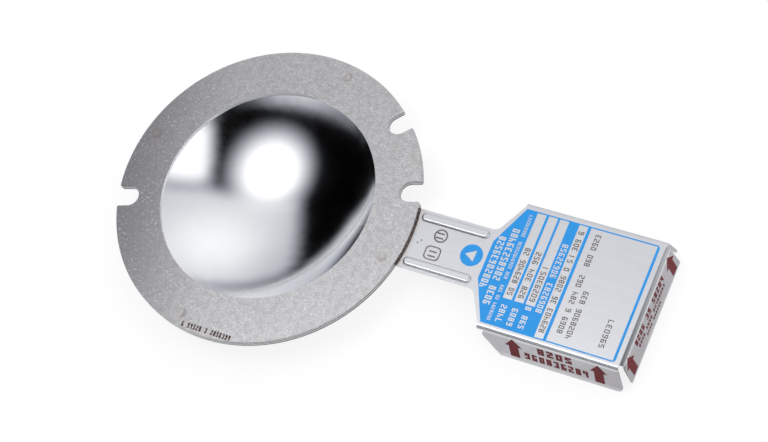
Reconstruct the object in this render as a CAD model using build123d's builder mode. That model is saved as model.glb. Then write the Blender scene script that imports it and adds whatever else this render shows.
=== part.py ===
"""Rupture disc for a 3 inch pipe: a reverse-acting domed disc between two welded rings, with a folded tag.

Frame: millimetres, origin at the centre of the outlet ring's bore on its outlet face, +Z the way the gas
leaves, +X along the tag. It lies with its outlet face up, on its dome and the lower edges of the tag.
"""
import os
from math import asin, cos, degrees, hypot, radians, sin, sqrt

from build123d import *

# Rings
ring_radius = 56.0
outlet_bore_radius = 39.5
outlet_ring_thickness = 1.5
inlet_bore_radius = 41.6
inlet_ring_thickness = 0.9
ring_edge_break = 0.15

# Keying notches for the pins of the holder
notch_angles = (17.0, 47.0, 197.0)
notch_width = 7.6
notch_centre_radius = 52.0
notch_corner = 0.6

# Spot welds that hold the stack together
spot_weld_circle = 51.2
spot_weld_start = 78.5
spot_weld_count = 4
spot_dimple_radius = 1.5
spot_dimple_depth = 0.06

# Domed disc
sheet_thickness = 0.3
dome_radius = 40.0
crown_height = 13.76
knuckle_radius = 1.2

# Tag
tag_thickness = 0.7
neck_half_width = 11.1
tongue_half_width = 8.5
tongue_reach = 7.0
tongue_clearance = 0.25
neck_end = 84.3
shoulder_start = 90.5
neck_fillet = 3.0
fold_half_width = 22.2
end_fold = 140.9
end_wall_relief = 0.6
fold_radius = 1.5
side_splay = 12.0
side_wall_length = 12.7
side_wall_slant = 7.0
end_splay = 7.0
end_wall_length = 11.2
wall_flare = 0.9
wall_corner = 2.4

# Stiffening beads pressed in the neck
bead_from_rim = 0.9
bead_from_flare = 1.9
bead_offset = 8.5
bead_width = 3.3
bead_height = 0.9
bead_round = 0.85

# Weld between the neck and the rim of the stack
weld_leg = 0.55

# Printed fields on the tag's face
ink = 0.05
print_half_width = 21.4
print_start = 84.4
print_nose_half_width = 7.0
print_shoulder = 91.2
print_end = 139.3
print_corner = 1.2
frame_line = 0.9
field_starts = (95.2, 99.4, 103.5)
field_height = 3.3
field_low = -11.1
rating_start = 110.5
rating_height = 3.2
panel_start = 114.8
badge_centre = 79.1
badge_radius = 4.0

# Printed arrows on the walls
arrow_length = 10.6
arrow_width = 6.0
arrow_head = 4.2
arrow_shaft = 3.4
arrow_gap = 1.3

tongue_start = ring_radius - tongue_reach
bead_start = ring_radius + bead_from_rim
bead_end = neck_end - bead_from_flare
disc_z = -outlet_ring_thickness
inlet_z = disc_z - sheet_thickness
tag_z = inlet_z
stack_thickness = outlet_ring_thickness + sheet_thickness + inlet_ring_thickness


def notch_shapes():
    """Takes the keying notches out of the sketch being built."""
    for angle in notch_angles:
        with PolarLocations(notch_centre_radius, 1, start_angle=angle):
            Circle(notch_width / 2, mode=Mode.SUBTRACT)
            Rectangle(ring_radius, notch_width, align=(Align.MIN, Align.CENTER), mode=Mode.SUBTRACT)


def mouth_corners(outline):
    """The corners of a notched outline that lie on its rim."""
    on_rim = outline.vertices().filter_by(lambda v: abs(hypot(v.X, v.Y) - ring_radius) < 0.01)
    return on_rim.filter_by(lambda v: abs(v.Y) > 0.01)


def spot_dimples(face_z, side):
    """Presses the shallow dimples of the spot welds in the part being built; side is +1 up, -1 down."""
    ball = (spot_dimple_radius**2 + spot_dimple_depth**2) / (2 * spot_dimple_depth)
    with Locations((0, 0, face_z + side * (ball - spot_dimple_depth))):
        with PolarLocations(spot_weld_circle, spot_weld_count, start_angle=spot_weld_start):
            Sphere(ball, mode=Mode.SUBTRACT)


# Outlet ring: the heavy ring on the side that the gas leaves
with BuildPart() as outlet_ring:
    with BuildSketch() as outlet_outline:
        Circle(ring_radius)
        notch_shapes()
        fillet(mouth_corners(outlet_outline), notch_corner)
        Circle(outlet_bore_radius, mode=Mode.SUBTRACT)
    extrude(amount=-outlet_ring_thickness)
    top_edges = outlet_ring.faces().sort_by(Axis.Z)[-1].edges()
    bore_edge = top_edges.filter_by(GeomType.CIRCLE).filter_by(lambda e: e.radius < outlet_bore_radius + 1)
    chamfer(top_edges - bore_edge, ring_edge_break)
    spot_dimples(0, 1)

# Burst disc: a dished sheet whose flat flange is held between the rings
sphere_radius = (dome_radius**2 + crown_height**2) / (2 * crown_height)
sphere_z = disc_z - crown_height + sphere_radius
under_radius = sphere_radius + sheet_thickness
under_rim = sqrt(under_radius**2 - (sphere_z - inlet_z) ** 2)
under_crown_z = disc_z - crown_height - sheet_thickness

with BuildPart() as burst_disc:
    with BuildSketch(Plane.XZ) as dish:
        with BuildLine():
            Line((ring_radius, disc_z), (dome_radius, disc_z))
            RadiusArc((dome_radius, disc_z), (0, disc_z - crown_height), sphere_radius)
            Line((0, disc_z - crown_height), (0, under_crown_z))
            RadiusArc((0, under_crown_z), (under_rim, inlet_z), -under_radius)
            Line((under_rim, inlet_z), (ring_radius, inlet_z))
            Line((ring_radius, inlet_z), (ring_radius, disc_z))
        make_face()
        rim_corners = dish.vertices().filter_by(lambda v: abs(v.X - dome_radius) < 1)
        fillet(rim_corners.sort_by(Axis.Z)[-1], knuckle_radius + sheet_thickness)
        fillet(dish.vertices().filter_by(lambda v: abs(v.X - under_rim) < 0.01), knuckle_radius)
    revolve(axis=Axis.Z)
    with BuildSketch(Plane.XY.offset(disc_z)):
        for notch_angle in notch_angles:
            with PolarLocations(notch_centre_radius, 1, start_angle=notch_angle):
                Circle(notch_width / 2)
                Rectangle(ring_radius, notch_width, align=(Align.MIN, Align.CENTER))
    extrude(amount=-sheet_thickness, both=True, mode=Mode.SUBTRACT)

# Inlet ring: thinner, with a slot for the tag's tongue
with BuildPart() as inlet_ring:
    with BuildSketch(Plane.XY.offset(inlet_z)) as inlet_outline:
        Circle(ring_radius)
        notch_shapes()
        fillet(mouth_corners(inlet_outline), notch_corner)
        Circle(inlet_bore_radius, mode=Mode.SUBTRACT)
        with BuildSketch(mode=Mode.PRIVATE) as slot:
            slot_width = 2 * (tongue_half_width + tongue_clearance)
            Rectangle(2 * ring_radius, slot_width, align=(Align.MIN, Align.CENTER))
            Circle(tongue_start - tongue_clearance, mode=Mode.SUBTRACT)
        add(slot.sketch, mode=Mode.SUBTRACT)
    extrude(amount=-inlet_ring_thickness)
    spot_dimples(inlet_z - inlet_ring_thickness, -1)

# Tag: one folded sheet with the neck, the face and three walls
side_turn = 90 - side_splay
end_turn = 90 - end_splay
fold_z = tag_z - fold_radius
end_half_width = fold_half_width - end_wall_relief


def wall_plane(fold_place, turn, across, outward_axis):
    """The outer face of a wall: across runs along the fold, local Y runs down the wall."""
    away = outward_axis * sin(radians(turn)) + Vector(0, 0, cos(radians(turn)))
    origin = outward_axis * fold_place + Vector(0, 0, fold_z) + away * fold_radius
    return Plane(origin, x_dir=across, z_dir=away)


side_plane = wall_plane(fold_half_width, side_turn, Vector(1, 0, 0), Vector(0, 1, 0))
end_plane = wall_plane(end_fold, end_turn, Vector(0, -1, 0), Vector(1, 0, 0))

with BuildPart() as name_tag:
    # Half of the flat
    with BuildSketch(Plane.XY.offset(tag_z)) as flat:
        with BuildLine():
            Polyline(
                (0, 0),
                (0, neck_half_width),
                (neck_end, neck_half_width),
                (shoulder_start, fold_half_width),
                (end_fold, fold_half_width),
                (end_fold, 0),
                close=True,
            )
        make_face()
        fillet(flat.vertices().filter_by(lambda v: abs(v.X - neck_end) < 0.01), neck_fillet)
        Circle(ring_radius + tongue_clearance, mode=Mode.SUBTRACT)
        with BuildSketch(mode=Mode.PRIVATE) as tongue:
            Rectangle(ring_radius + 2 * tongue_clearance, tongue_half_width, align=(Align.MIN, Align.MIN))
            Circle(tongue_start, mode=Mode.SUBTRACT)
        add(tongue.sketch)
    extrude(amount=-tag_thickness)
    # Side fold and side wall
    with BuildSketch(Plane.XZ.offset(-fold_half_width)):
        with Locations((shoulder_start, tag_z)):
            Rectangle(end_fold - shoulder_start, tag_thickness, align=(Align.MIN, Align.MAX))
    revolve(axis=Axis((0, fold_half_width, fold_z), (-1, 0, 0)), revolution_arc=side_turn)
    with BuildSketch(side_plane) as side_wall:
        with BuildLine():
            Polyline(
                (shoulder_start, 0),
                (shoulder_start + side_wall_slant, side_wall_length),
                (end_fold + wall_flare, side_wall_length),
                (end_fold, 0),
                close=True,
            )
        make_face()
        fillet(side_wall.vertices().sort_by(Axis.Z)[:2], wall_corner)
    extrude(amount=-tag_thickness)
    # Stiffening bead, hollow from below
    bead_middle = (bead_start + bead_end) / 2
    bead_length = bead_end - bead_start
    with BuildSketch(Plane.XY.offset(tag_z)):
        with Locations((bead_middle, bead_offset)):
            SlotOverall(bead_length, bead_width)
    extrude(amount=bead_height)
    fillet(name_tag.faces().sort_by(Axis.Z)[-1].edges(), bead_round)
    with BuildSketch(Plane.XY.offset(tag_z - tag_thickness)):
        with Locations((bead_middle, bead_offset)):
            SlotOverall(bead_length - 2 * tag_thickness, bead_width - 2 * tag_thickness)
    extrude(amount=bead_height, mode=Mode.SUBTRACT)
    mirror(about=Plane.XZ)
    # End fold and end wall
    with BuildSketch(Plane.YZ.offset(end_fold)):
        with Locations((0, tag_z)):
            Rectangle(2 * end_half_width, tag_thickness, align=(Align.CENTER, Align.MAX))
    revolve(axis=Axis((end_fold, 0, fold_z), (0, 1, 0)), revolution_arc=end_turn)
    with BuildSketch(end_plane) as end_wall:
        with BuildLine():
            Polyline(
                (-end_half_width, 0),
                (-end_half_width - wall_flare, end_wall_length),
                (end_half_width + wall_flare, end_wall_length),
                (end_half_width, 0),
                close=True,
            )
        make_face()
        fillet(end_wall.vertices().sort_by(Axis.Z)[:2], wall_corner)
    extrude(amount=-tag_thickness)

# Fillet weld that joins the neck to the rim of the outlet ring
weld_half = degrees(asin(neck_half_width / (ring_radius + weld_leg)))
weld_plane = Plane((0, 0, 0), x_dir=(cos(radians(weld_half)), -sin(radians(weld_half)), 0),
                   z_dir=(-sin(radians(weld_half)), -cos(radians(weld_half)), 0))
with BuildPart() as tag_weld:
    with BuildSketch(weld_plane):
        with BuildLine():
            Polyline(
                (ring_radius, tag_z),
                (ring_radius + weld_leg, tag_z),
                (ring_radius, disc_z + weld_leg),
                close=True,
            )
        make_face()
    revolve(axis=Axis.Z, revolution_arc=2 * weld_half)

# Lines of print: place of the line, height, first mark, pitch of the marks, and # for each mark
title_lines = (
    (85.8, 2.5, -9.6, 1.72, "###########"),
    (89.2, 2.5, -14.6, 1.72, "#### ###########"),
    (92.6, 1.3, -20.0, 0.95, "####### ## ###"),
    (92.6, 1.3, -4.6, 0.95, "### ###########"),
    (92.6, 1.3, 10.6, 0.95, "#########"),
)
caption_lines = (
    (95.8, 2.0, -19.6, 1.6, "####"),
    (99.9, 2.0, -19.8, 1.6, "####"),
    (104.0, 2.0, -19.6, 1.6, "### #"),
    (107.5, 2.0, -12.6, 1.55, "####### ########"),
)
typed_lines = (
    (95.8, 1.9, -9.6, 1.45, "## ###### ####"),
    (99.9, 1.9, -9.6, 1.55, "### ### ###"),
    (104.1, 1.9, -9.6, 1.6, "########"),
    (111.1, 1.9, -18.6, 1.5, "###### ## #### # ## ### #"),
    (117.0, 1.9, -17.0, 1.6, "#### # #### ###"),
    (117.0, 1.9, 7.2, 1.35, "### # ####"),
    (120.4, 1.9, -18.0, 1.55, "######### ####"),
    (132.0, 1.9, -17.8, 1.75, "######"),
)
side_wall_lines = (
    (1.9, 3.3, -124.6, 3.1, "####"),
    (6.4, 3.3, -130.0, 2.15, "#########"),
)
end_wall_lines = (
    (1.6, 2.6, -10.5, 1.9, "#### ## #####"),
    (5.4, 1.4, -11.2, 1.35, "#### #### ########"),
    (8.2, 0.9, -5.6, 1.2, "#### ######"),
)


def printed_marks(lines, fill=0.72):
    """Draws each mark of the given lines as a small block, one after another along Y."""
    for place, height, first, pitch, pattern in lines:
        with Locations([(place, first + i * pitch) for i, mark in enumerate(pattern) if mark == "#"]):
            Rectangle(height, fill * pitch, align=(Align.MIN, Align.MIN))


def across_wall(wall):
    """The wall's plane turned so that lines of print run along its fold."""
    return Plane(wall.origin, x_dir=wall.y_dir, z_dir=wall.z_dir)


with BuildPart() as face_print:
    with BuildSketch(Plane.XY.offset(tag_z)) as blue:
        with BuildLine():
            Polyline(
                (print_start, -print_nose_half_width),
                (print_start, print_nose_half_width),
                (print_shoulder, print_half_width),
                (print_end, print_half_width),
                (print_end, -print_half_width),
                (print_shoulder, -print_half_width),
                close=True,
            )
        make_face()
        fillet(blue.vertices().group_by(Axis.X)[-1], print_corner)
        inner = print_half_width - frame_line / 2
        for field_start in field_starts:
            with Locations((field_start, field_low)):
                Rectangle(field_height, inner - field_low, align=(Align.MIN, Align.MIN), mode=Mode.SUBTRACT)
        with Locations((rating_start, 0)):
            Rectangle(rating_height, 2 * inner, align=(Align.MIN, Align.CENTER), mode=Mode.SUBTRACT)
        with Locations((panel_start, 0)):
            Rectangle(print_end - frame_line - panel_start, 2 * inner,
                      align=(Align.MIN, Align.CENTER), mode=Mode.SUBTRACT)
        with BuildSketch(mode=Mode.PRIVATE) as white:
            printed_marks(title_lines)
            printed_marks(caption_lines)
        add(white.sketch, mode=Mode.SUBTRACT)
        # Plain round badge on the neck with a triangle that points to the disc
        with Locations((badge_centre, 0)):
            Circle(badge_radius)
            Triangle(a=badge_radius, b=badge_radius, c=badge_radius, rotation=90, mode=Mode.SUBTRACT)
    extrude(amount=ink)

with BuildPart() as typed_marks:
    with BuildSketch(Plane.XY.offset(tag_z)):
        printed_marks(typed_lines)
    extrude(amount=ink)


# Flow arrow, pointing to the fold from its foot at the origin
with BuildSketch() as flow_arrow:
    with BuildLine():
        Polyline(
            (-arrow_shaft / 2, 0),
            (-arrow_shaft / 2, arrow_head - arrow_length),
            (-arrow_width / 2, arrow_head - arrow_length),
            (0, -arrow_length),
            (arrow_width / 2, arrow_head - arrow_length),
            (arrow_shaft / 2, arrow_head - arrow_length),
            (arrow_shaft / 2, 0),
            close=True,
        )
    make_face()

arrow_foot = arrow_gap + arrow_length - fold_radius
with BuildPart() as flow_print:
    with BuildSketch(side_plane):
        with Locations((103.3, arrow_foot), (133.8, arrow_foot)):
            add(flow_arrow.sketch)
    extrude(amount=ink)
    with BuildSketch(across_wall(side_plane)):
        printed_marks(side_wall_lines, 0.8)
    extrude(amount=ink)
    mirror(about=Plane.XZ)
    with BuildSketch(end_plane):
        with Locations((-18.4, arrow_foot), (18.4, arrow_foot)):
            add(flow_arrow.sketch)
    extrude(amount=ink)
    with BuildSketch(across_wall(end_plane)):
        printed_marks(end_wall_lines, 0.8)
    extrude(amount=ink)

os.makedirs("parts", exist_ok=True)
outlet_ring.part.label = "outlet_ring"
export_step(outlet_ring.part, "parts/outlet_ring.step")
burst_disc.part.label = "burst_disc"
export_step(burst_disc.part, "parts/burst_disc.step")
inlet_ring.part.label = "inlet_ring"
export_step(inlet_ring.part, "parts/inlet_ring.step")
name_tag.part.label = "name_tag"
export_step(name_tag.part, "parts/name_tag.step")
tag_weld.part.label = "tag_weld"
export_step(tag_weld.part, "parts/tag_weld.step")
face_print.part.label = "face_print"
export_step(face_print.part, "parts/face_print.step")
typed_marks.part.label = "typed_marks"
export_step(typed_marks.part, "parts/typed_marks.step")
flow_print.part.label = "flow_print"
export_step(flow_print.part, "parts/flow_print.step")
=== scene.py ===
import math

import bmesh
import bpy
from mathutils import Matrix, Vector


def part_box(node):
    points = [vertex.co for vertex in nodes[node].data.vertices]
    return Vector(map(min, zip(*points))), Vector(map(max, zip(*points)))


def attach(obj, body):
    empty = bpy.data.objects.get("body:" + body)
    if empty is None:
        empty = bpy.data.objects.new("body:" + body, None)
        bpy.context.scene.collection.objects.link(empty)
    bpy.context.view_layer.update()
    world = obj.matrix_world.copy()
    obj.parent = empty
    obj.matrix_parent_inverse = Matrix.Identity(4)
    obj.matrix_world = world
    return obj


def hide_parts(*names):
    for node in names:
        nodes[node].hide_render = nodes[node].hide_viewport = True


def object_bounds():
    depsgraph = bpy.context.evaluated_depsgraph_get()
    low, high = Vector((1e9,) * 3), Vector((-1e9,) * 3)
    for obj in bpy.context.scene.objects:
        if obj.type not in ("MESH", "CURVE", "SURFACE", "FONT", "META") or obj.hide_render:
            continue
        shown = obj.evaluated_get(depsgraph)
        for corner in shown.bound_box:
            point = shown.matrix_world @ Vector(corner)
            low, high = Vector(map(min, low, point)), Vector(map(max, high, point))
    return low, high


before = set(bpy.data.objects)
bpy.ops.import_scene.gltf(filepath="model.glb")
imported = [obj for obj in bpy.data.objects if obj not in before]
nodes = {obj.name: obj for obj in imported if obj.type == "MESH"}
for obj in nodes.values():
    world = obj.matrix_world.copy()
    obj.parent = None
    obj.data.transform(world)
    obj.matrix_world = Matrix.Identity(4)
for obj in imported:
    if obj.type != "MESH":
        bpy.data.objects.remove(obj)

MM = 0.001
cad_box = [list(corner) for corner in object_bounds()]

# Sizes that the looks and the print follow, in millimetres and degrees. The bore's axis is Z, the outlet
# face is at height 0 and the tag points along +X.
outlet_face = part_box("outlet_ring")[1].z / MM
tag_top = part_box("face_print")[0].z / MM
ring_radius = 56.0
outlet_bore_radius = 39.5
stack_thickness = 2.7
spot_weld_circle = 51.2
spot_weld_angles = (78.5, 168.5, 258.5, 348.5)
fold_half_width = 22.2
fold_radius = 1.5
end_fold = 140.9
side_splay = 12.0
end_splay = 7.0


# ---------------------------------------------------------------- materials


class Finish:
    """A material built up from small steps on the part's own coordinates."""

    def __init__(self, name, colour, roughness, metallic=0.0):
        self.material = bpy.data.materials.new(name)
        self.material.use_nodes = True
        self.tree = self.material.node_tree
        self.shader = self.tree.nodes["Principled BSDF"]
        self.place = self.tree.nodes.new("ShaderNodeTexCoord").outputs["Object"]
        self.colour = (*colour, 1)
        self.relief = None
        self.set(self.shader, Base_Color=self.colour, Roughness=roughness, Metallic=metallic)

    def node(self, kind, **settings):
        """Adds a node of a kind with its settings."""
        made = self.tree.nodes.new(kind)
        for key, value in settings.items():
            setattr(made, key, value)
        return made

    def set(self, made, **inputs):
        """Sets or links a node's inputs: i0 is the first one, and a name has _ for each space."""
        for key, value in inputs.items():
            numbered = key[0] == "i" and key[1:].isdigit()
            socket = made.inputs[int(key[1:]) if numbered else key.replace("_", " ")]
            if isinstance(value, bpy.types.NodeSocket):
                self.tree.links.new(value, socket)
            else:
                socket.default_value = value

    def stretch(self, x, y, z):
        """The part's coordinates scaled along X, Y and Z."""
        made = self.node("ShaderNodeMapping")
        self.set(made, Vector=self.place, Scale=(x, y, z))
        return made.outputs["Vector"]

    def noise(self, grain_mm, detail=3.0, rough=0.55, place=None):
        """Cloudy value from 0 to 1 whose spots are about grain_mm across."""
        made = self.node("ShaderNodeTexNoise")
        scale = 1.0 / (grain_mm * MM)
        self.set(made, Vector=place or self.place, Scale=scale, Detail=detail, Roughness=rough)
        return made.outputs["Fac"]

    def span(self, value, low, high, out_low=0.0, out_high=1.0, smooth=False):
        """Maps a value from one range to another, clamped."""
        made = self.node("ShaderNodeMapRange", interpolation_type="SMOOTHSTEP" if smooth else "LINEAR")
        self.set(made, Value=value, From_Min=low, From_Max=high, To_Min=out_low, To_Max=out_high)
        return made.outputs["Result"]

    def span_mm(self, value, low, high, out_low=0.0, out_high=1.0, smooth=False):
        """The same for a length in metres, with its range in millimetres."""
        return self.span(value, low * MM, high * MM, out_low, out_high, smooth)

    def combine(self, operation, first, *others):
        """Takes values together one after another."""
        for other in others:
            made = self.node("ShaderNodeMath", operation=operation)
            self.set(made, i0=first, i1=other)
            first = made.outputs["Value"]
        return first

    def times(self, *values):
        """The product of values."""
        return self.combine("MULTIPLY", *values)

    def axis(self, letter):
        """How far along X, Y or Z the surface lies, in metres."""
        made = self.node("ShaderNodeSeparateXYZ")
        self.set(made, Vector=self.place)
        return made.outputs[letter]

    def from_point(self, point):
        """How far the surface is from a point, in metres."""
        made = self.node("ShaderNodeVectorMath", operation="DISTANCE")
        self.set(made, i0=self.place, i1=point)
        return made.outputs["Value"]

    def from_bore_axis(self):
        """How far the surface is from the bore's axis, in metres."""
        made = self.node("ShaderNodeVectorMath", operation="LENGTH")
        self.set(made, i0=self.stretch(1, 1, 0))
        return made.outputs["Value"]

    def tint(self, amount, colour):
        """Moves the colour towards another one by an amount from 0 to 1."""
        made = self.node("ShaderNodeMix", data_type="RGBA")
        self.set(made, i0=amount, i6=self.colour, i7=(*colour, 1))
        self.colour = made.outputs[2]
        self.set(self.shader, Base_Color=self.colour)

    def roughen(self, value):
        """Lets a value set the roughness."""
        self.set(self.shader, Roughness=value)

    def bump(self, height, depth_mm, strength):
        """Raises the surface by a value from 0 to 1."""
        made = self.node("ShaderNodeBump")
        self.set(made, Height=height, Distance=depth_mm * MM, Strength=strength)
        if self.relief:
            self.set(made, Normal=self.relief)
        self.relief = made.outputs["Normal"]
        self.set(self.shader, Normal=self.relief)


def cloud_grain_and_side_shade(steel, grain):
    """The mottled grey that blasting leaves, with bright flecks, and painted shade that darkens the side
    away from the tag.
    """
    clouds = steel.noise(16, 4)
    fleck = steel.noise(0.95, 3, 0.6)
    patches = steel.span(steel.noise(9, 3), 0.38, 0.62, 0.3, 1)
    mottle = steel.noise(2.2, 3, 0.6)
    steel.tint(steel.span(clouds, 0.35, 0.7, 0, 0.3), (0.5, 0.495, 0.5))
    steel.tint(steel.span(grain, 0.39, 0.61, 0, 0.75), (0.36, 0.355, 0.36))
    steel.tint(steel.span(mottle, 0.44, 0.6, 0, 0.55), (0.4, 0.395, 0.405))
    # Painted shade: the side of the ring away from the tag is darkened, standing in for the light falling
    # off across it.
    painted_shade_across = steel.combine("ADD", steel.axis("X"), steel.times(steel.axis("Y"), 0.25))
    steel.tint(steel.span_mm(painted_shade_across, -63, -11, 0.95, 0, smooth=True), (0.27, 0.262, 0.28))
    steel.tint(steel.times(steel.span(fleck, 0.555, 0.67, 0, 0.65), patches), (0.82, 0.82, 0.83))


def brown_stains(steel):
    """Faint brown stains, and the four spot welds, each a brown halo round a bright heart."""
    broad = steel.span(steel.noise(20, 2), 0.5, 0.7)
    fine = steel.span(steel.noise(4, 3), 0.4, 0.7)
    steel.tint(steel.times(broad, fine, 0.3), (0.45, 0.4, 0.36))
    for angle in spot_weld_angles:
        turn = math.radians(angle)
        weld = (spot_weld_circle * MM * math.cos(turn), spot_weld_circle * MM * math.sin(turn), 0)
        off = steel.from_point(weld)
        halo = steel.span_mm(off, 1.2, 2.4, 0.4, 0, smooth=True)
        heart = steel.span_mm(off, 0.3, 1.1, 0.1, 1, smooth=True)
        worn = steel.span(steel.noise(1.4, 2), 0.35, 0.6, 0.2, 1)
        steel.tint(steel.times(halo, heart, worn), (0.28, 0.18, 0.12))


def wall_shade_and_bore_highlight(steel):
    """Painted shade on the outer side of the stack and on the notch walls, and a painted highlight on the
    wall of the outlet bore.
    """
    radius = steel.from_bore_axis()
    height = steel.axis("Z")
    # Painted shade: the outer side of the stack and the walls of the notches are darkened below a thin top
    # strip.
    painted_side_shade = steel.times(
        steel.span_mm(height, -0.3, -1.2),
        steel.span_mm(height, 0.02 - stack_thickness, 0.08 - stack_thickness),
        steel.span_mm(radius, outlet_bore_radius + 3, outlet_bore_radius + 3.5),
    )
    steel.tint(steel.times(painted_side_shade, 0.8), (0.06, 0.06, 0.07))
    # Painted highlight: the wall of the outlet bore is painted near white.
    bore = steel.times(
        steel.span_mm(radius, outlet_bore_radius + 0.05, outlet_bore_radius + 0.2, 1, 0),
        steel.span_mm(height, -0.02, -0.1),
    )
    steel.tint(bore, (0.95, 0.95, 0.95))


def blasted_steel():
    """Bead-blasted stainless for the rings."""
    steel = Finish("blasted steel", (0.67, 0.665, 0.675), 0.32, metallic=1.0)
    grain = steel.noise(0.5, 3, 0.65)
    cloud_grain_and_side_shade(steel, grain)
    brown_stains(steel)
    wall_shade_and_bore_highlight(steel)
    steel.roughen(steel.span(grain, 0.3, 0.7, 0.26, 0.4))
    steel.bump(grain, 0.035, 0.55)
    steel.bump(steel.noise(2.2, 3), 0.04, 0.2)
    return steel.material


def polished_sheet():
    """Bright rolled sheet of the dome."""
    sheet = Finish("polished sheet", (0.84, 0.85, 0.87), 0.1, metallic=1.0)
    haze = sheet.noise(8, 4)
    sheet.tint(sheet.span(haze, 0.4, 0.7, 0, 0.3), (0.79, 0.8, 0.83))
    sheet.roughen(sheet.span(haze, 0.3, 0.7, 0.09, 0.12))
    sheet.bump(sheet.noise(0.4, 3), 0.001, 0.15)
    return sheet.material


def painted_wall_shade(steel, haze):
    """Painted shade: the tag's walls are painted darker than its face, most of all towards the far end,
    with a painted dark line along the end fold.
    """
    along = steel.axis("X")
    height = steel.axis("Z")
    # Painted shade on the walls, strongest just below the folds and growing towards the far end.
    wall_shade_mask = steel.times(
        steel.span_mm(height, -4.2, -2.8, 1, 0, smooth=True),
        steel.span_mm(height, -15, -12, 0.35, 1, smooth=True),
    )
    steel.tint(steel.times(wall_shade_mask, steel.span(haze, 0.3, 0.6, 0.55, 0.85)), (0.4, 0.385, 0.41))
    steel.tint(steel.times(wall_shade_mask, steel.span_mm(along, 112, 138, 0, 0.45)), (0.3, 0.285, 0.3))
    # Painted shade: a dark line along the outer part of the end fold.
    painted_fold_shade = steel.times(
        steel.span_mm(along, end_fold, end_fold + 0.4),
        steel.span_mm(height, -2.8, -2.3),
        steel.span_mm(height, -1.6, -1.2, 1, 0),
        steel.span_mm(steel.axis("Y"), -20, 20, 0.8, 0.4),
    )
    steel.tint(painted_fold_shade, (0.07, 0.07, 0.08))


def satin_steel():
    """Satin stainless of the tag, brushed along its length and browned next to its weld."""
    steel = Finish("satin steel", (0.63, 0.64, 0.665), 0.3, metallic=1.0)
    lines = steel.noise(1.2, 4, 0.6, place=steel.stretch(0.06, 1, 1))
    haze = steel.noise(9, 4)
    steel.tint(steel.span(haze, 0.4, 0.7, 0, 0.3), (0.56, 0.56, 0.58))
    steel.tint(steel.span(lines, 0.4, 0.7, 0, 0.25), (0.72, 0.73, 0.75))
    painted_wall_shade(steel, haze)
    heat = steel.span_mm(steel.axis("X"), ring_radius - 0.2, ring_radius + 2.5, 0.45, 0, smooth=True)
    steel.tint(steel.times(heat, steel.span(steel.noise(2, 3), 0.3, 0.7, 0.3, 1)), (0.4, 0.3, 0.23))
    steel.roughen(steel.span(haze, 0.3, 0.7, 0.26, 0.34))
    steel.bump(steel.noise(1.5, 3), 0.01, 0.2)
    return steel.material


def weld_metal():
    """Browned weld bead."""
    bead = Finish("weld metal", (0.2, 0.16, 0.14), 0.45, metallic=1.0)
    bead.tint(bead.span(bead.noise(1.0, 3), 0.4, 0.6, 0, 0.9), (0.05, 0.04, 0.035))
    bead.bump(bead.noise(0.8, 3), 0.15, 0.8)
    return bead.material


def screened_ink(name, colour, worn):
    """Screen-printed ink with a slightly uneven coat."""
    coat = Finish(name, colour, 0.6)
    coat.set(coat.shader, Specular_IOR_Level=0.2)
    coat.tint(coat.span(coat.noise(5, 4), 0.35, 0.7, 0, 0.5), worn)
    coat.roughen(coat.span(coat.noise(1, 3), 0.3, 0.7, 0.5, 0.68))
    coat.bump(coat.noise(0.35, 3), 0.01, 0.3)
    return coat.material


ring_steel = blasted_steel()
tag_steel = satin_steel()
blue_ink = screened_ink("blue ink", (0.022, 0.262, 0.66), (0.035, 0.3, 0.71))
brown_ink = screened_ink("brown ink", (0.085, 0.07, 0.068), (0.13, 0.105, 0.1))
red_ink = screened_ink("red ink", (0.115, 0.006, 0.011), (0.15, 0.01, 0.018))
etched_mark = screened_ink("etched mark", (0.13, 0.11, 0.105), (0.24, 0.21, 0.2))
laser_brown = screened_ink("laser brown", (0.075, 0.05, 0.042), (0.15, 0.1, 0.085))

for node_name, finish in (
    ("outlet_ring", ring_steel),
    ("inlet_ring", ring_steel),
    ("burst_disc", polished_sheet()),
    ("name_tag", tag_steel),
    ("tag_weld", weld_metal()),
    ("face_print", blue_ink),
    ("typed_marks", brown_ink),
    ("flow_print", red_ink),
):
    nodes[node_name].material_slots[0].material = finish


# ---------------------------------------------------------------- print

# How thick the ink is, and what lies on the ink or is burnt in the ring
ink = 0.05
second_coat = 0.02

# The straight strokes of each digit: a is the top one, then clockwise to f, and g is the middle one.
strokes_of = {
    "0": "abcdef", "1": "bc", "2": "abged", "3": "abgcd", "4": "fgbc",
    "5": "afgcd", "6": "afgedc", "7": "abc", "8": "abcdefg", "9": "abfgcd",
}


def arc(across, along, radius, start, end, steps):
    """Points on an arc, both ends included, with angles in degrees from across towards along."""
    turns = [math.radians(start + (end - start) * step / steps) for step in range(steps + 1)]
    return [(across + radius * math.cos(turn), along + radius * math.sin(turn)) for turn in turns]


def circle(across, along, radius, steps):
    """Points round a circle, the first one not repeated."""
    return arc(across, along, radius, 0, 360, steps)[:-1]


def rounded(x0, x1, y0, y1, radius):
    """Points round a rectangle with round corners."""
    points = []
    for across, along, start in (
        (x1 - radius, y0 + radius, -90), (x1 - radius, y1 - radius, 0),
        (x0 + radius, y1 - radius, 90), (x0 + radius, y0 + radius, 180),
    ):
        points += arc(across, along, radius, start, start + 90, 5)
    return points


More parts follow.
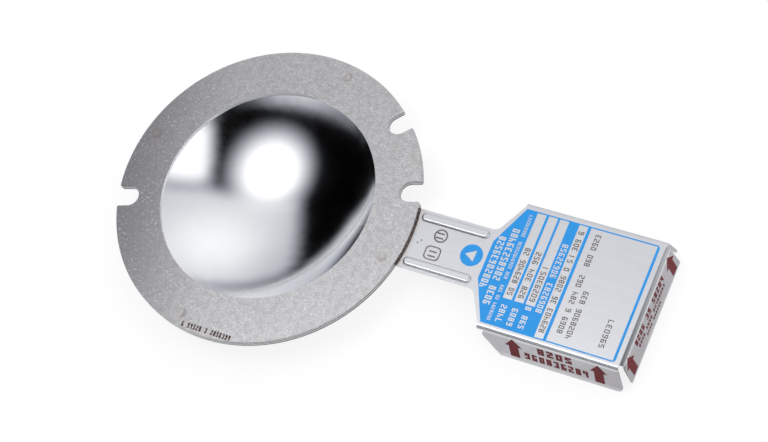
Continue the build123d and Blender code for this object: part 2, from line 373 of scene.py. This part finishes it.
class Page:
    """A flat place to print on, in millimetres. A place on it is given across, along its up direction, and
    lifted off it. A shape stands from foot to lift."""

    def __init__(self, corner, right, up):
        self.corner = Vector(corner)
        self.right = Vector(right).normalized()
        self.up = Vector(up).normalized()
        self.out = self.right.cross(self.up)
        self.made = bmesh.new()

    def spot(self, across, along, lift):
        """A place on the page as a point of the part, in metres."""
        return (self.corner + self.right * across + self.up * along + self.out * lift) * MM

    def patch(self, outline, lift=ink, foot=0.0):
        """A flat shape within an outline."""
        face = self.made.faces.new([self.made.verts.new(self.spot(x, y, foot)) for x, y in outline])
        raised = bmesh.ops.extrude_face_region(self.made, geom=[face])
        top = [item for item in raised["geom"] if isinstance(item, bmesh.types.BMVert)]
        bmesh.ops.translate(self.made, vec=self.out * (lift - foot) * MM, verts=top)

    def bar(self, x0, x1, y0, y1, lift=ink, foot=0.0):
        """A rectangle."""
        self.patch([(x0, y0), (x1, y0), (x1, y1), (x0, y1)], lift, foot)

    def number(self, digits, across, along, height, pitch, stroke, lift=ink, foot=0.0):
        """Plain numbers in straight strokes, one each pitch; a space leaves a gap."""
        wide = pitch * 0.7
        half = height / 2
        for place, digit in enumerate(digits):
            letters = strokes_of.get(digit, "")
            left = across + place * pitch
            top = height - stroke if "a" in letters else height
            bottom = stroke if "d" in letters else 0
            bars = {
                "a": (0, wide, top, height),
                "b": (wide - stroke, wide, half, top),
                "c": (wide - stroke, wide, bottom, half),
                "d": (0, wide, 0, bottom),
                "e": (0, stroke, bottom, half),
                "f": (0, stroke, half, top),
                "g": (stroke, wide - stroke, half - stroke / 2, half + stroke / 2),
            }
            for letter in letters:
                x0, x1, y0, y1 = bars[letter]
                self.bar(left + x0, left + x1, along + y0, along + y1, lift, foot)

    def line_round(self, points, width):
        """A thin closed line inside an outline."""
        mid_x = sum(x for x, _ in points) / len(points)
        mid_y = sum(y for _, y in points) / len(points)
        reach = max(math.hypot(x - mid_x, y - mid_y) for x, y in points)
        shrink = 1 - width / reach
        inner = [(mid_x + (x - mid_x) * shrink, mid_y + (y - mid_y) * shrink) for x, y in points]
        for i, point in enumerate(points):
            after = (i + 1) % len(points)
            self.patch([point, points[after], inner[after], inner[i]])


def printed(name, pages, material, slot, *replaced):
    """Joins pages of print in one piece of the object."""
    joined = bmesh.new()
    for page in pages:
        bmesh.ops.recalc_face_normals(page.made, faces=page.made.faces)
        mesh = bpy.data.meshes.new(name + "_page")
        page.made.to_mesh(mesh)
        page.made.free()
        joined.from_mesh(mesh)
        bpy.data.meshes.remove(mesh)
    mesh = bpy.data.meshes.new(name)
    joined.to_mesh(mesh)
    joined.free()
    mesh.materials.append(material)
    piece = bpy.data.objects.new(name, mesh)
    bpy.context.collection.objects.link(piece)
    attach(piece, "root")
    if replaced:
        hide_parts(*replaced)


def face_page():
    """The tag's face: up runs back to the ring, so a place out along the tag is below 0."""
    return Page((0, 0, tag_top), (0, 1, 0), (-1, 0, 0))


def wall_page(fold, out, up):
    """A wall: across runs along its fold, and up runs to the fold, from where its flat part starts."""
    return Page(fold + out * fold_radius, up.cross(out), up)


def side_page(side):
    """A long wall, on the tag's -Y or +Y side."""
    splay = math.radians(side_splay)
    fold = Vector((0, side * fold_half_width, tag_top - fold_radius))
    out = Vector((0, side * math.cos(splay), math.sin(splay)))
    up = Vector((0, -side * math.sin(splay), math.cos(splay)))
    return wall_page(fold, out, up)


def end_page():
    """The wall at the tag's far end."""
    splay = math.radians(end_splay)
    fold = Vector((end_fold, 0, tag_top - fold_radius))
    out = Vector((math.cos(splay), 0, math.sin(splay)))
    up = Vector((-math.sin(splay), 0, math.cos(splay)))
    return wall_page(fold, out, up)


# The blue fields, with their places out along the tag
print_half_width = 21.4
print_start, print_shoulder, print_end = 84.4, 91.2, 139.3
print_nose_half_width = 7.0
print_corner = 1.2
side_line = 0.45
foot_line = 0.9
badge_centre, badge_radius = 79.1, 4.0
label_edge = -11.1
windows = ((95.2, 98.5), (99.4, 102.7), (103.5, 106.8))
rating_window = (110.5, 113.7)
panel_start = 114.8


def blue_fields():
    """The heading, the frames of the windows and of the lower panel, and the badge on the neck."""
    page = face_page()
    half, nose, within = print_half_width, print_nose_half_width, print_half_width - side_line
    windows_start, windows_end = windows[0][0], windows[-1][1]
    rating_start, rating_end = rating_window

    def field(left, right, start, end):
        """A blue rectangle between two places along the tag."""
        page.bar(left, right, -end, -start)

    page.patch([
        (-nose, -print_start), (-half, -print_shoulder), (-half, -windows_start),
        (half, -windows_start), (half, -print_shoulder), (nose, -print_start),
    ])
    field(-half, label_edge, windows_start, windows_end)
    for (_, above), (below, _) in zip(windows, windows[1:]):
        field(label_edge, within, above, below)
    field(within, half, windows_start, windows_end)
    field(-half, half, windows_end, rating_start)
    field(-half, -within, rating_start, rating_end)
    field(within, half, rating_start, rating_end)
    field(-within, within, rating_end, panel_start)
    right_corner = arc(half - print_corner, print_corner - print_end, print_corner, -90, 0, 5)
    left_corner = [(-x, y) for x, y in reversed(right_corner)]
    foot = foot_line - print_end
    page.patch(
        [(-half, -rating_end)] + left_corner + right_corner + [(half, -rating_end)]
        + [(within, -rating_end), (within, foot), (-within, foot), (-within, -rating_end)]
    )
    page.patch(circle(0, -badge_centre, badge_radius, 36))
    return page


def bare_figures():
    """Numbers and a triangle on the blue that look like bare steel: digits, left end, place along the tag,
    height, pitch and stroke."""
    page = face_page()
    for digits, left, place, height, pitch, stroke in (
        ("40820639528", -9.6, 88.3, 2.5, 1.78, 0.46),
        ("9038 20685239480", -14.9, 91.8, 2.5, 1.8, 0.46),
        ("0628394 20 589", -20.0, 94.1, 1.2, 0.95, 0.2),
        ("830 20694825036", -4.6, 94.1, 1.2, 0.95, 0.2),
        ("386940257", 11.2, 94.1, 1.2, 0.95, 0.2),
        ("7482", -19.7, 97.9, 2.1, 1.7, 0.38),
        ("6809", -19.9, 102.0, 2.1, 1.7, 0.38),
        ("598 8", -19.7, 106.1, 2.1, 1.7, 0.38),
        ("8069283 90632958", -12.6, 109.7, 2.1, 1.62, 0.36),
    ):
        page.number(digits, left, -place, height, pitch, stroke, ink + second_coat, ink)
    page.patch([(0, -76.8), (-2.1, -80.4), (2.1, -80.4)], ink + second_coat, ink)
    return page


def typed_figures():
    """Numbers typed in the windows and on the panel: digits, left end, place along the tag and pitch."""
    page = face_page()
    for digits, left, place, pitch in (
        ("50 829406 28", -9.6, 97.9, 1.5),
        ("928 304 952", -9.6, 102.0, 1.6),
        ("60293051", -9.6, 106.1, 1.65),
        ("829403 36 2086 0 51 309 6", -18.8, 113.1, 1.52),
        ("8069 6 284 062", -17.2, 119.0, 1.55),
        ("860 0923", 7.6, 119.0, 1.5),
        ("4028906 839", -18.2, 122.4, 1.6),
        ("596037", -17.9, 134.0, 1.75),
    ):
        page.number(digits, left, -place, height=1.9, pitch=pitch, stroke=0.27)
    return page


def flow_arrow(page, across, top):
    """An arrow that points to the fold, drawn down from its tip."""
    half_shaft, half_head, head, length = 1.7, 3.0, 4.2, 10.4
    page.patch([
        (across + x, top + y) for x, y in (
            (-half_shaft, -length), (half_shaft, -length), (half_shaft, -head), (half_head, -head),
            (0, 0), (-half_head, -head), (-half_shaft, -head),
        )
    ])


def side_marks(side):
    """Two arrows with two rows of numbers between them, on a long wall."""
    page = side_page(side)
    for place in (103.3, 133.8):
        flow_arrow(page, -side * place, -0.2)
    middle = -side * 118.6
    page.number("8205", middle - 6.4, -4.6, height=3.6, pitch=3.3, stroke=0.95)
    page.number("960836284", middle - 11.6, -9.7, height=3.6, pitch=2.62, stroke=0.82)
    return page


def end_marks():
    """Two arrows with three rows of numbers between them, on the end wall."""
    page = end_page()
    for place in (-18.4, 18.4):
        flow_arrow(page, place, 0.2)
    page.number("8206 39 58204", -12.4, -3.6, height=2.8, pitch=1.95, stroke=0.6)
    page.number("8206 3958 20469083", -11.6, -6.2, height=1.4, pitch=1.3, stroke=0.26)
    page.number("2069 385026", -6.2, -8.4, height=0.9, pitch=1.15, stroke=0.16)
    return page


def etched_outlines():
    """A rounded box and a circle with two bars in each, and two dots, etched in the tag's neck."""
    page = face_page()
    line = 0.5
    page.line_round(rounded(-5.8, -0.7, -68.6, -62.8, 1.5), line)
    page.line_round(circle(3.5, -66.2, 2.5, 24), line)
    for across, along in ((-4.6, -67.2), (-2.9, -67.2), (2.4, -67.3), (4.1, -67.3)):
        page.bar(across, across + line, along, along + 2.8)
    for across, along in ((0.2, -60.2), (-1.0, -59.2)):
        page.patch(circle(across, along, 0.28, 9))
    return page


def rim_figures():
    """A row of numbers burnt in the outlet face, close to the rim."""
    page = Page((0, -54.3, outlet_face), (1, 0, 0), (0, 1, 0))
    page.number("6 94520 3 2056394", -8.7, -0.35, height=1.9, pitch=1.16, stroke=0.5, lift=second_coat)
    return page


printed("blue_fields", [blue_fields()], blue_ink, "blue_ink", "face_print")
printed("bare_figures", [bare_figures()], tag_steel, "tag_steel")
printed("typed_figures", [typed_figures()], brown_ink, "brown_ink", "typed_marks")
printed("flow_marks", [side_marks(-1), side_marks(1), end_marks()], red_ink, "red_ink", "flow_print")
printed("etched_outlines", [etched_outlines()], etched_mark, "tag_steel")
printed("rim_figures", [rim_figures()], laser_brown, "brown_ink")


# ---------------------------------------------------------------- studio

floor_height = cad_box[0][2]
floor_half_width = 6.0
tent_radius = 1.5
tent_foot = -0.02

# Outlines on the tent, as degrees from straight up towards +X and +Y, which show in the dish: a black panel
# with a tail, a bright panel on the tag's side, and a grey gap along the edge of the bright one
black_panel = (
    (21, 14), (26, -2), (30, -11), (34, -22), (30, -36), (18, -40), (4, -43.5), (-17, -44.5),
    (-40, -42), (-56, -37), (-68, -32), (-98, -10), (-93, 6), (-86, 12.5), (-78, 22), (-72.5, 37),
    (-66, 50), (-61, 58.5), (-45, 69.5), (-29, 78.5), (-12, 83.5), (-12, 81), (-28, 75), (-43, 65.5),
    (-57, 53), (-54, 45), (-48.5, 35), (-43, 25.5), (-38, 16), (-35, 8), (-8, 12), (8, 17),
)
bright_panel = ((22, 14), (40, 26), (70, 44), (80, 0), (60, -50), (44, -40), (35.5, -22), (27.5, -2))
grey_gap = ((10, 15.5), (22, 15), (33, 21.5), (66, 42), (64, 47), (32, 27), (22, 20.5), (10, 18.5))
# How bright the fields of the tent are, where 1 is white
black_level = 0.0
tail_level = 0.13
gap_level = 0.3
bright_level = 1.28
low_bright_level = 1.25
low_dark_level = 0.06
far_level = 0.9
near_level = 0.64
# The tail of the black panel starts here towards +Y, and the tent's low stretches at these tilts
tail_start = 56
low_bright_tilt = 74
low_dark_tilt = 64
# The glow round the key lamp: its middle, how far it stays full, how far it reaches and its level
key_spot = (-11.4, -4.2)
key_heart = 7
key_reach = 33
key_level = 1.6
# Places round a point of the tent whose levels are averaged, so that its fields have soft edges
soft_spots = [(0, 0)] + circle(0, 0, 2.8, 8) + circle(0, 0, 5.6, 8)


def staged(name, mesh_maker, material):
    """A studio piece that isn't part of the object."""
    mesh = bpy.data.meshes.new(name)
    made = bmesh.new()
    mesh_maker(made)
    made.to_mesh(mesh)
    made.free()
    mesh.materials.append(material)
    piece = bpy.data.objects.new(name, mesh)
    bpy.context.collection.objects.link(piece)
    return piece


def lay_floor(made):
    """A flat sheet under the lowest point of the object."""
    bmesh.ops.create_grid(
        made, x_segments=1, y_segments=1, size=floor_half_width,
        matrix=Matrix.Translation((0, 0, floor_height)),
    )


def white_paper():
    """White paper that shows most of its white of its own accord, so its shadows stay faint."""
    paper = Finish("white paper", (0.95, 0.95, 0.95), 0.8)
    rays = paper.node("ShaderNodeLightPath").outputs
    kinds = ("Is Camera Ray", "Is Glossy Ray", "Is Transmission Ray")
    seen = paper.combine("MAXIMUM", *(rays[kind] for kind in kinds))
    white = paper.node("ShaderNodeEmission").outputs["Emission"]
    blend = paper.node("ShaderNodeMixShader")
    paper.set(blend, i0=paper.times(seen, 0.82), i1=paper.shader.outputs["BSDF"], i2=white)
    paper.set(paper.tree.nodes["Material Output"], Surface=blend.outputs["Shader"])
    return paper.material


def inside(point, outline):
    """Whether a point lies inside an outline."""
    x, y = point
    hit = False
    for (ax, ay), (bx, by) in zip(outline, outline[1:] + outline[:1]):
        if (ay > y) != (by > y) and x < ax + (y - ay) * (bx - ax) / (by - ay):
            hit = not hit
    return hit


def ramp(value, start, end):
    """From 0 at start to 1 at end, clamped."""
    return max(0.0, min(1.0, (value - start) / (end - start)))


def smooth_ramp(value, start, end):
    """The same, with soft ends."""
    share = ramp(value, start, end)
    return share * share * (3 - 2 * share)


def panel_level(x, y):
    """How bright the tent is at a place on it: the panels, then a bright and a dark stretch low on the
    tag's side, and elsewhere a grey that swells towards +Y."""
    if inside((x, y), grey_gap):
        return gap_level
    if inside((x, y), bright_panel):
        return bright_level
    if inside((x, y), black_panel):
        return tail_level if y > tail_start else black_level
    tilt = math.hypot(x, y)
    turn = math.degrees(math.atan2(y, x))
    if tilt > low_bright_tilt and -75 < turn < 20:
        return low_bright_level
    if tilt > low_dark_tilt and -120 < turn < 38:
        return low_dark_level
    if x < -60:
        return far_level
    if y < 0:
        return near_level + 0.45 * ramp(y, -43, -52)
    swell = 0.43 * math.exp(-((x + 4) ** 2 + (y - 50) ** 2) / 850)
    return (0.7 + swell) * (0.8 + 0.2 * smooth_ramp(x, -58, -22))


def soft_level(direction):
    """The tent's level with soft edges, and with the glow round the key lamp."""
    tilt = math.degrees(math.acos(max(-1, min(1, direction.z))))
    turn = math.atan2(direction.y, direction.x)
    x = tilt * math.cos(turn)
    y = tilt * math.sin(turn)
    level = sum(panel_level(x + dx, y + dy) for dx, dy in soft_spots) / len(soft_spots)
    off = math.hypot(x - key_spot[0], y - key_spot[1])
    glow = key_level * smooth_ramp(off, key_reach, key_heart)
    return max(level, glow, level + glow * (1 - level))


def pitch_tent(made):
    """A half sphere round the object."""
    bmesh.ops.create_uvsphere(made, u_segments=144, v_segments=72, radius=tent_radius)
    below = [v for v in made.verts if v.co.z < tent_foot]
    bmesh.ops.delete(made, geom=below, context="VERTS")


def tent_cloth():
    """Cloth that glows by the level stored on the tent, a little bluer where it is dim."""
    cloth = bpy.data.materials.new("tent cloth")
    cloth.use_nodes = True
    tree = cloth.node_tree
    tree.nodes.clear()
    level = tree.nodes.new("ShaderNodeAttribute")
    level.attribute_name = "level"
    tone = tree.nodes.new("ShaderNodeMix")
    tone.data_type = "RGBA"
    tone.inputs[6].default_value = (0.84, 0.88, 1, 1)
    tone.inputs[7].default_value = (0.99, 0.993, 1, 1)
    light = tree.nodes.new("ShaderNodeEmission")
    out = tree.nodes.new("ShaderNodeOutputMaterial")
    tree.links.new(level.outputs["Fac"], tone.inputs[0])
    tree.links.new(tone.outputs[2], light.inputs["Color"])
    tree.links.new(level.outputs["Fac"], light.inputs["Strength"])
    tree.links.new(light.outputs["Emission"], out.inputs["Surface"])
    return cloth


def direction_of(tilt, turn):
    """The direction tilt degrees from straight up, turned from +X towards +Y."""
    tilt, turn = math.radians(tilt), math.radians(turn)
    return Vector((math.sin(tilt) * math.cos(turn), math.sin(tilt) * math.sin(turn), math.cos(tilt)))


def studio_lamp(name, tilt, turn, away, size, power, shown=True):
    """A round soft lamp in a direction from the object, in metres and watts."""
    data = bpy.data.lights.new(name, "AREA")
    data.shape = "DISK"
    data.size = size
    data.energy = power
    lamp = bpy.data.objects.new(name, data)
    way = direction_of(tilt, turn)
    lamp.location = way * away
    lamp.rotation_euler = way.to_track_quat("Z", "Y").to_euler()
    lamp.visible_glossy = shown
    lamp.visible_camera = False
    bpy.context.collection.objects.link(lamp)


staged("floor", lay_floor, white_paper())
tent = staged("light_tent", pitch_tent, tent_cloth())
tent.visible_camera = False
levels = tent.data.attributes.new("level", "FLOAT", "POINT")
for vertex, stored in zip(tent.data.vertices, levels.data):
    stored.value = soft_level(vertex.co.normalized())
studio_lamp("key_lamp", tilt=12.7, turn=-160.7, away=0.85, size=0.36, power=0.84)
studio_lamp("fill_lamp", tilt=5, turn=60, away=1.2, size=2.6, power=16.0, shown=False)

world = bpy.data.worlds.new("white room")
bpy.context.scene.world = world
world.use_nodes = True
backdrop = world.node_tree.nodes["Background"].inputs
backdrop["Color"].default_value = (1, 1, 1, 1)
backdrop["Strength"].default_value = 1.0


# ---------------------------------------------------------------- camera

camera_place = (0.3383, -0.2224, 0.654)
camera_right = Vector((0.8841, 0.3858, -0.2634)).normalized()
camera_back = Vector((0.39, -0.2993, 0.8708)).normalized()
camera_up = camera_back.cross(camera_right)

lens = bpy.data.cameras.new("lens")
lens.sensor_width = 36
lens.lens = 103.125
lens.clip_start = 0.01
lens.clip_end = 20
camera = bpy.data.objects.new("camera", lens)
bpy.context.collection.objects.link(camera)
facing = Matrix((camera_right, camera_up, camera_back)).transposed().to_4x4()
camera.matrix_world = Matrix.Translation(camera_place) @ facing
bpy.context.scene.camera = camera
bpy.context.scene.view_settings.view_transform = "Standard"
